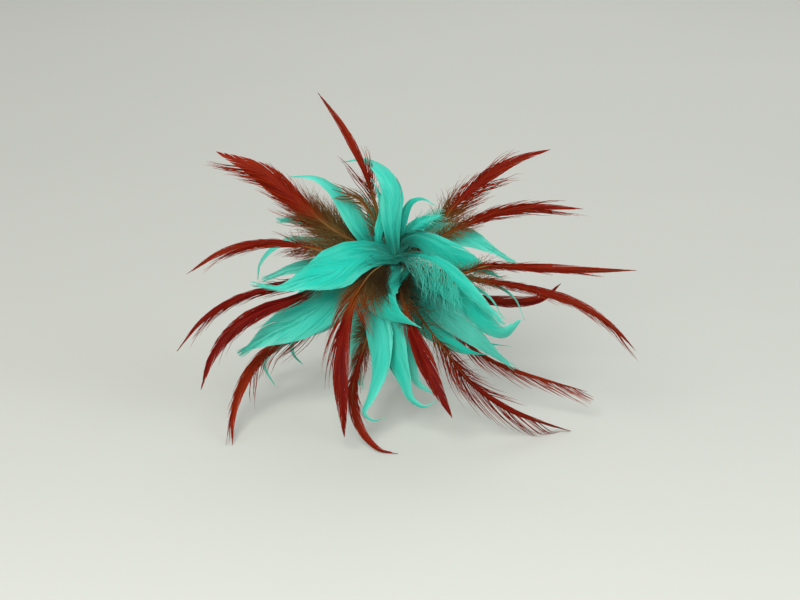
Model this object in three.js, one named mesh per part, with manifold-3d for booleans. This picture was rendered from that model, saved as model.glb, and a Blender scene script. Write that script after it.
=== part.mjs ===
import * as THREE from 'three';
import Module from 'manifold-3d';

// A burst of curled goose feathers and rooster hackles, tied round a slim core on a taped wire stem.
// It leans back on the stem, and its face looks towards -Y and a little upwards.
// All sizes are in millimetres.

// How the burst sits on the surface below it
const LEAN = 18; // degrees that the face looks up
const CENTRE = [-4.5, 19.9, 80.1]; // middle of the burst, beside and above the origin on that surface

// The burst is a nest of shallow bowls, one for each layer from the back (0) to the front (22).
// A feather follows the bowl of its layer, so feathers of different layers pass each other clear.
const LAYER_STEP = 1.6; // distance between layers on the axis
const MIDDLE_LAYER = 8; // the layer whose feathers start level with the middle
const BACK_SLOPE = -0.5; // rise of the rearmost bowl for each millimetre away from the axis
const SLOPE_STEP = 0.06; // how much steeper each layer is than the one behind it

// The core of cut quills, wrapped in tape, which tapers towards the front
const CORE_BACK = -14;
const CORE_FRONT = 18;
const CORE_BACK_RADIUS = 5;
const CORE_FRONT_RADIUS = 1;
const CORE_SIDES = 12;
const ACROSS_FRONT = 3; // how far a feather in front of the core starts past the axis
const GAP = 0.3; // left between pieces that touch

// The taped wire stem, as points across, up and towards the viewer from the middle of the burst
const STEM_DIAMETER = 3.6;
const STEM_SIDES = 8;
const STEM_STEPS = 16;
const STEM_PATH = [[0, 0, CORE_BACK - GAP], [0.5, -1, -21], [2, -8, -32], [4, -30, -44], [6, -65.2, -58]];

// The two kinds of feather. Along the vane: the width at the quill as a share of the greatest, the
// share of the length that may be downy, where the vane is widest and how full it stays. Then the
// rachis ridge from front to back, how far the vane's edges fall back for each millimetre of half
// width, and the distance from the axis past which a feather may bow out of its bowl.
const GOOSE = {
  quillShare: 0.3, downShare: 0.6, belly: 0.42, fullness: 0.8, thickness: 1.1, tipThickness: 0.6,
  fall: 0.2, bowFrom: 22, steps: 16, colour: 0x2fc4a6, roughness: 0.55,
};
const HACKLE = {
  quillShare: 0.2, downShare: 0.5, belly: 0.4, fullness: 0.65, thickness: 1.1, tipThickness: 0.5,
  fall: 0.15, bowFrom: 45, steps: 16, colour: 0x7a1f12, roughness: 0.5,
};

// Each feather: its layer, the greatest width of its vane, the tilt of the vane in degrees at the
// quill and at the tip, its bow, and its rachis from the quill to the tip, as points across and up
// from the middle of the burst. A bow above 0 curls towards the viewer, and one below 0 away. Down
// is the width of the downy base, where it isn't that of the vane.
const GOOSE_FEATHERS = {
  goose_top: {
    layer: 20, wide: 13, tilt: [6, 40], bow: -0.028,
    path: [[-1.5, 16.5], [-1.5, 34], [-6, 42.5], [-15, 48.5], [-26.5, 48]],
  },
  goose_top_side: {
    layer: 18.5, wide: 5.5, tilt: [8, 25],
    path: [[-8.5, 8], [-6, 21.5], [-7, 29], [-11.5, 39]],
  },
  goose_top_back: { layer: 12, wide: 8, tilt: [-6, -20], path: [[-10, 16.5], [-12.5, 24], [-16.5, 32]] },
  goose_upper_left: {
    layer: 15, wide: 10.5, tilt: [8, 45], bow: -0.006,
    path: [[-13, 7.5], [-19, 15.7], [-24.8, 25.3], [-32.3, 35], [-40.4, 40], [-52.5, 40.7]],
  },
  goose_upper_right_hook: {
    layer: 14, wide: 5, tilt: [5, 30], path: [[2.5, 9], [5, 21.5], [8.5, 28], [14, 29.5], [20.5, 26]],
  },
  goose_upper_right_short: { layer: 12.5, wide: 9, tilt: [-5, -20], path: [[5, 9], [14, 18], [25, 22]] },
  goose_right_arch: {
    layer: 17, wide: 11.5, tilt: [8, 35], bow: 0.004,
    path: [[4, 8], [10, 10.8], [17, 8.5], [24, 4], [33, -0.5], [43, -5.5], [54, -11]],
  },
  goose_right_outer: {
    layer: 11, wide: 13, tilt: [-5, -25], bow: -0.006,
    path: [[12.5, 9], [25, 12.5], [37.5, 10.5], [47.5, 5.5], [60, -2]],
  },
  goose_right_front: {
    layer: 21.3, wide: 8, tilt: [5, 30], bow: -0.0065,
    path: [[6, 1], [15, 0], [22, -3], [29, -9], [40, -20], [52.5, -31]],
  },
  goose_right_thin_outer: {
    layer: 12.5, wide: 3.5, tilt: [10, 40], bow: 0.005,
    path: [[22.5, -8.5], [40, -11], [52.5, -15], [60.5, -21.5], [64.5, -31.5]],
  },
  goose_right_thin_inner: {
    layer: 15.5, wide: 3.5, tilt: [10, 40], bow: 0.004,
    path: [[22.5, -12], [40, -15.5], [48.5, -21.5], [53.5, -30.5]],
  },
  goose_right_lower: {
    layer: 13, wide: 15.5, tilt: [6, 30], bow: -0.004,
    path: [[5, -8.5], [15, -18.5], [27.5, -30], [42.5, -42.5], [60.5, -56.5]],
  },
  goose_right_lower_back: {
    layer: 10, wide: 14, tilt: [4, 25],
    path: [[10, -26], [22.5, -39.5], [35, -47], [47, -49.5]],
  },
  goose_right_crescent: {
    layer: 16, wide: 11, tilt: [6, 50], bow: 0.006,
    path: [[12.5, -8.5], [27.5, -16], [38.5, -24], [46, -34], [54.5, -37.5], [62, -31.5]],
  },
  goose_right_small: { layer: 7, wide: 5, tilt: [0, 15], path: [[22, -26], [37.5, -41], [59.5, -45.5]] },
  goose_left: {
    layer: 20.3, wide: 18, tilt: [5, 30], bow: -0.0098,
    path: [[-8, 1.5], [-20, -1], [-31, -7], [-45, -11.5], [-57.5, -15.5], [-69, -13.5]],
  },
  goose_left_broad: {
    layer: 14, wide: 26, tilt: [0, 10], bow: -0.003,
    path: [[-17.5, -8.5], [-32.5, -21], [-47.5, -31], [-62.5, -38.5], [-76, -47]],
  },
  goose_left_arc: {
    layer: 5, wide: 3.5, tilt: [0, 40], bow: -0.003,
    path: [[-27.5, 6.5], [-45, 9], [-55, 9.5], [-65, 4], [-70.5, -3.5], [-71.5, -11]],
  },
  goose_left_soft: {
    layer: 8, wide: 8, tilt: [0, 20],
    path: [[-22.5, -2], [-45, -4], [-55, -6], [-66, -10.5]],
  },
  goose_left_blunt: {
    layer: 7, wide: 6, tilt: [0, -20], bow: -0.004,
    path: [[-17, 9], [-32.5, 16], [-47.5, 19.5], [-59.5, 19.5]],
  },
  goose_left_lower_outer: {
    layer: 3, wide: 5, tilt: [0, 30], path: [[-20, -14], [-45, -32], [-64, -47], [-68.5, -55], [-63, -66]],
  },
  goose_left_lower_inner: {
    layer: 4, wide: 5, tilt: [0, 30], path: [[-14, -16], [-34, -33], [-53, -43.5], [-53, -49.5], [-48, -55]],
  },
  goose_front_left: {
    layer: 16, wide: 13, tilt: [5, 45], bow: -0.004,
    path: [[-10, -21], [-7.5, -38.5], [-7.5, -56], [-12.5, -71], [-15.5, -78], [-11.5, -81.5], [-4.5, -81]],
  },
  goose_front_left_back: {
    layer: 11, wide: 12, tilt: [0, 20],
    path: [[-9, -17], [-15.5, -32], [-18.5, -44], [-19.5, -54], [-18, -65]],
  },
  goose_front_right: {
    layer: 15, wide: 16, tilt: [5, 40], bow: -0.004,
    path: [[-3.5, -24], [-0.5, -43.5], [4, -60], [8, -71], [14.5, -75], [21.5, -72]],
  },
  goose_front_right_back: {
    layer: 11, wide: 9, tilt: [0, 20],
    path: [[5, -36], [7.5, -53.5], [11.5, -63.5], [19.5, -69]],
  },
  goose_centre_curl: {
    layer: 18.8, wide: 12, tilt: [5, 45], bow: 0.01,
    path: [[4, -5.5], [-3.5, -12], [-5.8, -20], [-0.5, -28], [13, -35.5]],
  },
};

const HACKLES = {
  hackle_top: {
    layer: 16.5, wide: 6, down: 6, tilt: [5, 20], bow: -0.003,
    path: [[-5, 8], [-8.5, 21], [-12.5, 36], [-18.5, 51], [-27, 66], [-38, 81]],
  },
  hackle_top_short: {
    layer: 15.7, wide: 11, tilt: [0, 10],
    path: [[-5, 9], [-11.5, 21], [-17.5, 29], [-25, 32], [-31.5, 34]],
  },
  hackle_upper_left: {
    layer: 9.5, wide: 15, down: 20, tilt: [0, 15],
    path: [[-23, 10], [-47, 26], [-67, 43], [-91, 54]],
  },
  hackle_left: {
    layer: 12, wide: 6, down: 10, tilt: [0, 20], bow: 0.002,
    path: [[-30, 2.5], [-47, 6], [-67, 7.5], [-87, 2.5], [-104, -8.5]],
  },
  hackle_left_short: { layer: 5, wide: 7, tilt: [0, 10], path: [[-32.5, -7], [-55, -13], [-73.5, -14.5]] },
  hackle_left_lower_1: {
    layer: 11, wide: 6, tilt: [0, 20], bow: 0.002,
    path: [[-22, -7], [-47, -14], [-70, -17.5], [-85, -23.5], [-97.5, -32.5], [-109, -47]],
  },
  hackle_left_lower_2: {
    layer: 16, wide: 8.5, tilt: [0, 20], bow: -0.003,
    path: [[-35, -12.5], [-47.5, -20], [-67.5, -27.5], [-82.5, -38.5], [-91, -51], [-96, -66]],
  },
  hackle_left_lower_3: {
    layer: 6, wide: 8.5, tilt: [0, 20], bow: 0.00825,
    path: [[-25, -21], [-47.5, -38.5], [-66.5, -48.5], [-76, -61], [-81.5, -78.5], [-81.5, -94.5]],
  },
  hackle_front_left: {
    layer: 19.5, wide: 8, down: 16, tilt: [0, 15], bow: -0.01305,
    path: [[-12.5, -8.5], [-22, -25], [-26, -41], [-27.3, -56], [-26.5, -71], [-25, -89.5]],
  },
  hackle_front_middle: {
    layer: 13, wide: 8, down: 10, tilt: [0, 20], bow: 0.00285,
    path: [[-7.5, -18.5], [-13, -38.5], [-19, -56], [-21.5, -71], [-16.5, -87], [-7.5, -96], [1.5, -98]],
  },
  hackle_front_right: {
    layer: 17.5, wide: 9, down: 8, tilt: [0, 15], bow: -0.006,
    path: [[2.5, -16], [7.5, -33.5], [13.5, -48.5], [20, -63.5], [28.5, -80]],
  },
  hackle_right_lower_1: {
    layer: 15, wide: 9, down: 13, tilt: [0, 20], bow: -0.0077,
    path: [[3.5, -13.5], [12.5, -30], [25, -46], [37.5, -62.5], [57.5, -76.5], [75, -83.5], [89, -88]],
  },
  hackle_right_lower_2: {
    layer: 8, wide: 7, tilt: [0, 20], bow: 0.002,
    path: [[7.5, -8.5], [22.5, -28.5], [44, -49.5], [62.5, -58], [82.5, -64], [97.5, -68]],
  },
  hackle_right_short: {
    layer: 9, wide: 7.5, tilt: [0, 20], bow: 0.002,
    path: [[17, -11], [40, -20], [60, -22.5], [75, -20.5], [84.5, -13]],
  },
  hackle_right: {
    layer: 19, wide: 6.5, tilt: [0, 20], bow: -0.004,
    path: [[17.5, -6], [33.5, -8], [45, -4.5], [57.5, -5], [77.5, -6], [97.5, -7], [118, -7]],
  },
  hackle_right_drooping: {
    layer: 18, wide: 6.5, tilt: [0, 20], bow: -0.004,
    path: [[17, -7.5], [35, -10.5], [52.5, -13], [75, -18], [92.5, -24.5], [107.5, -35], [118, -46]],
  },
  hackle_upper_right_1: {
    layer: 9, wide: 8.5, down: 14, tilt: [0, 15], bow: 0.002,
    path: [[22.5, 18], [35, 31.5], [47.5, 41.5], [62.5, 50], [79, 55]],
  },
  hackle_upper_right_2: {
    layer: 13, wide: 6.5, down: 9, tilt: [0, 20], bow: 0.001,
    path: [[15, 6.5], [32.5, 15], [52.5, 22.5], [72.5, 25], [94, 24]],
  },
};

const degrees = Math.PI / 180;
const VIEW = new THREE.Vector3(0, 0, 1); // towards the viewer, in the burst's own frame

const feathers = {};
for (const [kind, rows] of [[GOOSE, GOOSE_FEATHERS], [HACKLE, HACKLES]]) {
  for (const [name, row] of Object.entries(rows)) {
    feathers[name] = { bow: 0, down: row.wide, ...row, kind };
  }
}

// Distance towards the viewer at a radius from the axis: the layer's bowl, and the feather's bow
function depth({ kind, layer, bow }, radius) {
  const start = (layer - MIDDLE_LAYER) * LAYER_STEP;
  const slope = BACK_SLOPE + SLOPE_STEP * layer;
  const past = Math.max(0, radius - kind.bowFrom);
  return start + slope * radius + bow * past * past;
}

// Where a feather starts: on the core, or across its front end where the layer lies before it
function startRadius(feather) {
  const along = depth(feather, 0);
  const share = (along - CORE_BACK) / (CORE_FRONT - CORE_BACK);
  if (share > 1 && feather.kind === GOOSE) {
    return -ACROSS_FRONT;
  }
  return CORE_BACK_RADIUS + (CORE_FRONT_RADIUS - CORE_BACK_RADIUS) * Math.min(1, share) + 2 * GAP;
}

function rachisCurve(feather) {
  const start = new THREE.Vector2(...feather.path[0]).setLength(1).multiplyScalar(startRadius(feather));
  const points = [start.toArray(), ...feather.path];
  const placed = points.map(([x, y]) => new THREE.Vector3(x, y, depth(feather, Math.hypot(x, y))));
  return new THREE.CatmullRomCurve3(placed, false, 'centripetal');
}

// Half the vane's width along the feather: the quill, the downy base, and a bell that is widest at
// the belly
function halfWidth({ kind, wide, down }, s) {
  const bell = Math.max(0, Math.sin(Math.PI * s ** (Math.log(0.5) / Math.log(kind.belly))));
  const quill = kind.quillShare * (1 - s) ** 2;
  const downy = Math.sin(Math.PI * Math.min(1, s / kind.downShare)) * (down / wide);
  return (wide / 2) * Math.max(quill, downy, bell ** kind.fullness);
}

// A closed vane: four-sided sections with a ridge in front and behind, which end in a point
function featherGeometry(feather, clearance) {
  const { kind } = feather;
  const curve = rachisCurve(feather);
  const corners = [[1, 0], [0, 1], [-1, 0], [0, -1]];
  const positions = [];
  for (let step = 0; step < kind.steps; step += 1) {
    const s = step / kind.steps;
    const along = curve.getTangentAt(s);
    const tilt = THREE.MathUtils.lerp(...feather.tilt, s) * degrees;
    const side = new THREE.Vector3().crossVectors(along, VIEW).normalize().applyAxisAngle(along, tilt);
    const out = new THREE.Vector3().crossVectors(side, along);
    const half = halfWidth(feather, s);
    const ridge = THREE.MathUtils.lerp(kind.thickness, kind.tipThickness, s) / 2 + clearance;
    for (const [across, up] of corners) {
      const point = curve.getPointAt(s);
      point.addScaledVector(side, across * (half + clearance));
      point.addScaledVector(out, up * ridge - Math.abs(across) * kind.fall * half);
      positions.push(point.x, point.y, point.z);
    }
  }
  const tip = curve.getPointAt(1).addScaledVector(curve.getTangentAt(1), clearance);
  positions.push(tip.x, tip.y, tip.z);
  const sides = corners.length;
  const last = sides * (kind.steps - 1);
  const index = [0, 1, 2, 0, 2, 3];
  for (let first = 0; first <= last; first += sides) {
    for (let corner = 0; corner < sides; corner += 1) {
      const a = first + corner;
      const b = first + ((corner + 1) % sides);
      if (first === last) {
        index.push(a, last + sides, b);
      } else {
        index.push(a, a + sides, b + sides, a, b + sides, b);
      }
    }
  }
  const geometry = new THREE.BufferGeometry();
  geometry.setAttribute('position', new THREE.Float32BufferAttribute(positions, 3));
  geometry.setIndex(index);
  return geometry;
}

const wasm = await Module();
wasm.setup();

function toSolid(geometry) {
  return new wasm.Manifold(new wasm.Mesh({
    numProp: 3,
    vertProperties: new Float32Array(geometry.attributes.position.array),
    triVerts: new Uint32Array(geometry.index.array),
  }));
}

function toGeometry(solid) {
  const mesh = solid.getMesh();
  const geometry = new THREE.BufferGeometry();
  geometry.setAttribute('position', new THREE.BufferAttribute(mesh.vertProperties, 3));
  geometry.setIndex(new THREE.BufferAttribute(mesh.triVerts, 1));
  return geometry;
}

for (const feather of Object.values(feathers)) {
  feather.solid = toSolid(featherGeometry(feather, 0));
  feather.space = toSolid(featherGeometry(feather, GAP));
}

// The vane of one feather parted round another, with the share of it that stays in one piece
function parted(feather, other) {
  const pieces = feather.solid.subtract(other.space).decompose();
  const solid = pieces.reduce((a, b) => (a.volume() > b.volume() ? a : b));
  return { solid, kept: solid.volume() / feather.solid.volume() };
}

// Where two feathers meet, the one that loses less gives way
const stacked = Object.values(feathers).sort((a, b) => a.layer - b.layer);
stacked.forEach((behind, i) => {
  for (const before of stacked.slice(i + 1)) {
    if (behind.solid.intersect(before.solid).isEmpty()) {
      continue;
    }
    const back = parted(behind, before);
    const front = parted(before, behind);
    if (back.kept >= front.kept) {
      behind.solid = back.solid;
    } else {
      before.solid = front.solid;
    }
  }
});

function namedMesh(name, geometry, color, roughness) {
  const mesh = new THREE.Mesh(geometry, new THREE.MeshStandardMaterial({ color, roughness, metalness: 0 }));
  mesh.name = name;
  return mesh;
}

function bindingGeometry() {
  const wall = [[CORE_BACK_RADIUS, CORE_BACK], [CORE_FRONT_RADIUS, CORE_FRONT]];
  const outline = [[0, CORE_BACK], ...wall, [0, CORE_FRONT]].map((point) => new THREE.Vector2(...point));
  const geometry = new THREE.LatheGeometry(outline, CORE_SIDES);
  return geometry.rotateX(Math.PI / 2);
}

function stemGeometry() {
  const curve = new THREE.CatmullRomCurve3(STEM_PATH.map((point) => new THREE.Vector3(...point)));
  const section = new THREE.Shape().absarc(0, 0, STEM_DIAMETER / 2, 0, 2 * Math.PI);
  return new THREE.ExtrudeGeometry(section, {
    steps: STEM_STEPS, curveSegments: STEM_SIDES, extrudePath: curve, bevelEnabled: false,
  });
}

const TAPE = [0x4a3a28, 0.85];
const burst = new THREE.Group();
for (const [name, { solid, kind }] of Object.entries(feathers)) {
  burst.add(namedMesh(name, toGeometry(solid), kind.colour, kind.roughness));
}
burst.add(namedMesh('binding', bindingGeometry(), ...TAPE));
burst.add(namedMesh('wire_stem', stemGeometry(), ...TAPE));
burst.rotation.x = Math.PI / 2 - LEAN * degrees;
burst.position.set(...CENTRE);

const mount = new THREE.Group();
mount.add(burst);
export default mount;
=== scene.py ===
# %% [markdown]
# # A goose feather mount
#
# The real thing is a corsage of loose feathers. Curled goose feathers, dyed turquoise, and long
# rooster hackles, rust red with a brown downy base, are tied by their quills round a slim core
# and taped to a wire. The solids already say where every feather runs. What they can't show is
# what a feather is made of: a quill with hundreds of barbs on either side of it. This lesson
# builds those barbs as surfaces and thin tapering strips, works them out with numpy, and gives
# them a finish that follows each barb.

import math

import bpy
import numpy as np
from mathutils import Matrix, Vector


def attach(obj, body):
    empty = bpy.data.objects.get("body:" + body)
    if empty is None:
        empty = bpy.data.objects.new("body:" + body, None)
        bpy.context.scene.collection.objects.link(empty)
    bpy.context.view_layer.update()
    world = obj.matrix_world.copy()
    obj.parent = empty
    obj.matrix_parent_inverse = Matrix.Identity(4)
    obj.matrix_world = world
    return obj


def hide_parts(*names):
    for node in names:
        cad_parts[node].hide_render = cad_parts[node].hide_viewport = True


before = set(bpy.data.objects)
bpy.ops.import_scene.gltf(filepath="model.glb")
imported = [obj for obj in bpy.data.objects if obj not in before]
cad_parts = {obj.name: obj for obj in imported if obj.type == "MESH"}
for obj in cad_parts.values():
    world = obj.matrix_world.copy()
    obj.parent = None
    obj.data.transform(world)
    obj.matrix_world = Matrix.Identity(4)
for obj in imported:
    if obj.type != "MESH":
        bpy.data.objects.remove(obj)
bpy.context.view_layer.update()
print("solids in the frame:", len(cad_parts))

# %% [markdown]
# ## The burst's own frame
#
# Every feather is described as the photograph shows it: x to the right, y up, and z towards the
# viewer, in millimetres from the middle of the burst. The burst leans back by a few degrees as
# it rests on its front feathers and its stem, so one turn about the x axis and one shift bring a
# point to the surface that it stands on. Keeping the feathers in the burst's frame and turning
# only at the end means that a path can be read straight off the picture.

# %% From the burst to the surface it rests on
MM = 0.001
LEAN = math.radians(18)
CENTRE = np.array([-4.5, 19.9, 80.1])
draw = np.random.default_rng(11)


def resting(points):
    """Turns points about x by a right angle less the lean, shifts them to the centre, in metres."""
    x, y, z = np.moveaxis(np.asarray(points, float), -1, 0)
    back = math.sin(LEAN) * y - math.cos(LEAN) * z
    up = math.cos(LEAN) * y + math.sin(LEAN) * z
    return (np.stack([x, back, up], -1) + CENTRE) * MM


print("middle of the burst:", resting([0, 0, 0]).round(4))

# %% [markdown]
# ## The feathers
#
# Each row gives a feather's layer, which grows towards the viewer, the width of its vane, how far
# the vane is turned about the quill at the base and at the tip, how much it bows, and the points
# that its quill passes. A hackle also has the width of its downy base. The solids use the same
# rows, so the barbs lie round the solids' own quills.

# %% The rows of the two kinds of feather
GOOSE_FEATHERS = {
    "goose_top": (20, 13, (6, 40), -0.028, [
        (-1.5, 16.5), (-1.5, 34), (-6, 42.5), (-15, 48.5), (-26.5, 48)]),
    "goose_top_side": (18.5, 5.5, (8, 25), 0, [(-8.5, 8), (-6, 21.5), (-7, 29), (-11.5, 39)]),
    "goose_top_back": (12, 8, (-6, -20), 0, [(-10, 16.5), (-12.5, 24), (-16.5, 32)]),
    "goose_upper_left": (15, 10.5, (8, 45), -0.006, [
        (-13, 7.5), (-19, 15.7), (-24.8, 25.3), (-32.3, 35), (-40.4, 40), (-52.5, 40.7)]),
    "goose_upper_right_hook": (14, 5, (5, 30), 0, [
        (2.5, 9), (5, 21.5), (8.5, 28), (14, 29.5), (20.5, 26)]),
    "goose_upper_right_short": (12.5, 9, (-5, -20), 0, [(5, 9), (14, 18), (25, 22)]),
    "goose_right_arch": (17, 11.5, (8, 35), 0.004, [
        (4, 8), (10, 10.8), (17, 8.5), (24, 4), (33, -0.5), (43, -5.5), (54, -11)]),
    "goose_right_outer": (11, 13, (-5, -25), -0.006, [
        (12.5, 9), (25, 12.5), (37.5, 10.5), (47.5, 5.5), (60, -2)]),
    "goose_right_front": (21.3, 8, (5, 30), -0.0065, [
        (6, 1), (15, 0), (22, -3), (29, -9), (40, -20), (52.5, -31)]),
    "goose_right_thin_outer": (12.5, 3.5, (10, 40), 0.005, [
        (22.5, -8.5), (40, -11), (52.5, -15), (60.5, -21.5), (64.5, -31.5)]),
    "goose_right_thin_inner": (15.5, 3.5, (10, 40), 0.004, [
        (22.5, -12), (40, -15.5), (48.5, -21.5), (53.5, -30.5)]),
    "goose_right_lower": (13, 15.5, (6, 30), -0.004, [
        (5, -8.5), (15, -18.5), (27.5, -30), (42.5, -42.5), (60.5, -56.5)]),
    "goose_right_lower_back": (10, 14, (4, 25), 0, [
        (10, -26), (22.5, -39.5), (35, -47), (47, -49.5)]),
    "goose_right_crescent": (16, 11, (6, 50), 0.006, [
        (12.5, -8.5), (27.5, -16), (38.5, -24), (46, -34), (54.5, -37.5), (62, -31.5)]),
    "goose_right_small": (7, 5, (0, 15), 0, [(22, -26), (37.5, -41), (59.5, -45.5)]),
    "goose_left": (20.3, 18, (5, 30), -0.0098, [
        (-8, 1.5), (-20, -1), (-31, -7), (-45, -11.5), (-57.5, -15.5), (-69, -13.5)]),
    "goose_left_broad": (14, 26, (0, 10), -0.003, [
        (-17.5, -8.5), (-32.5, -21), (-47.5, -31), (-62.5, -38.5), (-76, -47)]),
    "goose_left_arc": (5, 3.5, (0, 40), -0.003, [
        (-27.5, 6.5), (-45, 9), (-55, 9.5), (-65, 4), (-70.5, -3.5), (-71.5, -11)]),
    "goose_left_soft": (8, 8, (0, 20), 0, [(-22.5, -2), (-45, -4), (-55, -6), (-66, -10.5)]),
    "goose_left_blunt": (7, 6, (0, -20), -0.004, [
        (-17, 9), (-32.5, 16), (-47.5, 19.5), (-59.5, 19.5)]),
    "goose_left_lower_outer": (3, 5, (0, 30), 0, [
        (-20, -14), (-45, -32), (-64, -47), (-68.5, -55), (-63, -66)]),
    "goose_left_lower_inner": (4, 5, (0, 30), 0, [
        (-14, -16), (-34, -33), (-53, -43.5), (-53, -49.5), (-48, -55)]),
    "goose_front_left": (16, 13, (5, 45), -0.004, [
        (-10, -21), (-7.5, -38.5), (-7.5, -56), (-12.5, -71), (-15.5, -78), (-11.5, -81.5),
        (-4.5, -81)]),
    "goose_front_left_back": (11, 12, (0, 20), 0, [
        (-9, -17), (-15.5, -32), (-18.5, -44), (-19.5, -54), (-18, -65)]),
    "goose_front_right": (15, 16, (5, 40), -0.004, [
        (-3.5, -24), (-0.5, -43.5), (4, -60), (8, -71), (14.5, -75), (21.5, -72)]),
    "goose_front_right_back": (11, 9, (0, 20), 0, [
        (5, -36), (7.5, -53.5), (11.5, -63.5), (19.5, -69)]),
    "goose_centre_curl": (18.8, 12, (5, 45), 0.01, [
        (4, -5.5), (-3.5, -12), (-5.8, -20), (-0.5, -28), (13, -35.5)]),
}

HACKLES = {
    "hackle_top": (16.5, 6, 6, (5, 20), -0.003, [
        (-5, 8), (-8.5, 21), (-12.5, 36), (-18.5, 51), (-27, 66), (-38, 81)]),
    "hackle_top_short": (15.7, 11, 11, (0, 10), 0, [
        (-5, 9), (-11.5, 21), (-17.5, 29), (-25, 32), (-31.5, 34)]),
    "hackle_upper_left": (9.5, 15, 20, (0, 15), 0, [(-23, 10), (-47, 26), (-67, 43), (-91, 54)]),
    "hackle_left": (12, 6, 10, (0, 20), 0.002, [
        (-30, 2.5), (-47, 6), (-67, 7.5), (-87, 2.5), (-104, -8.5)]),
    "hackle_left_short": (5, 7, 7, (0, 10), 0, [(-32.5, -7), (-55, -13), (-73.5, -14.5)]),
    "hackle_left_lower_1": (11, 6, 6, (0, 20), 0.002, [
        (-22, -7), (-47, -14), (-70, -17.5), (-85, -23.5), (-97.5, -32.5), (-109, -47)]),
    "hackle_left_lower_2": (16, 8.5, 8.5, (0, 20), -0.003, [
        (-35, -12.5), (-47.5, -20), (-67.5, -27.5), (-82.5, -38.5), (-91, -51), (-96, -66)]),
    "hackle_left_lower_3": (6, 8.5, 8.5, (0, 20), 0.00825, [
        (-25, -21), (-47.5, -38.5), (-66.5, -48.5), (-76, -61), (-81.5, -78.5), (-81.5, -94.5)]),
    "hackle_front_left": (19.5, 8, 16, (0, 15), -0.01305, [
        (-12.5, -8.5), (-22, -25), (-26, -41), (-27.3, -56), (-26.5, -71), (-25, -89.5)]),
    "hackle_front_middle": (13, 8, 10, (0, 20), 0.00285, [
        (-7.5, -18.5), (-13, -38.5), (-19, -56), (-21.5, -71), (-16.5, -87), (-7.5, -96),
        (1.5, -98)]),
    "hackle_front_right": (17.5, 9, 8, (0, 15), -0.006, [
        (2.5, -16), (7.5, -33.5), (13.5, -48.5), (20, -63.5), (28.5, -80)]),
    "hackle_right_lower_1": (15, 9, 13, (0, 20), -0.0077, [
        (3.5, -13.5), (12.5, -30), (25, -46), (37.5, -62.5), (57.5, -76.5), (75, -83.5),
        (89, -88)]),
    "hackle_right_lower_2": (8, 7, 7, (0, 20), 0.002, [
        (7.5, -8.5), (22.5, -28.5), (44, -49.5), (62.5, -58), (82.5, -64), (97.5, -68)]),
    "hackle_right_short": (9, 7.5, 7.5, (0, 20), 0.002, [
        (17, -11), (40, -20), (60, -22.5), (75, -20.5), (84.5, -13)]),
    "hackle_right": (19, 6.5, 6.5, (0, 20), -0.004, [
        (17.5, -6), (33.5, -8), (45, -4.5), (57.5, -5), (77.5, -6), (97.5, -7), (118, -7)]),
    "hackle_right_drooping": (18, 6.5, 6.5, (0, 20), -0.004, [
        (17, -7.5), (35, -10.5), (52.5, -13), (75, -18), (92.5, -24.5), (107.5, -35), (118, -46)]),
    "hackle_upper_right_1": (9, 8.5, 14, (0, 15), 0.002, [
        (22.5, 18), (35, 31.5), (47.5, 41.5), (62.5, 50), (79, 55)]),
    "hackle_upper_right_2": (13, 6.5, 9, (0, 20), 0.001, [
        (15, 6.5), (32.5, 15), (52.5, 22.5), (72.5, 25), (94, 24)]),
}

print(len(GOOSE_FEATHERS), "goose feathers and", len(HACKLES), "hackles")

# %% [markdown]
# ## How deep each feather lies
#
# The picture gives x and y, but not how near a feather is. The layers do: each one starts a step
# further forward on the core than the last, and slopes further forward too, so the back layers
# lean away from the viewer and the front ones towards the viewer, as the petals of a flower do.
# A goose feather past the last layer of the core starts on the far side of its front and crosses
# it. Past a given distance a feather may also bow forward or back. The vane falls away from its
# quill on both sides by a share of its width.

# %% How the layers and the vanes are shaped
LAYER_STEP, MIDDLE_LAYER = 1.6, 8
BACK_SLOPE, SLOPE_STEP = -0.5, 0.06
CORE_BACK, CORE_FRONT = -14.0, 18.0
CORE_BACK_RADIUS, CORE_FRONT_RADIUS = 5.0, 1.0
ACROSS_FRONT, GAP = 3.0, 0.3
GOOSE = dict(fall=0.2, bow_from=22)
HACKLE = dict(fall=0.15, bow_from=45)
print("the core is", CORE_FRONT - CORE_BACK, "mm long and holds layers",
      CORE_BACK / LAYER_STEP + MIDDLE_LAYER, "to", CORE_FRONT / LAYER_STEP + MIDDLE_LAYER)

# %% [markdown]
# ## A quill as a smooth line
#
# A quill is a springy rod, so the line through its points is a centripetal Catmull-Rom spline.
# It passes every point, and it doesn't loop where two points lie close together. The line is
# then measured and cut into equal lengths, so that s, from 0 at the base to 1 at the tip, is a
# true share of the feather's length.


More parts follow.
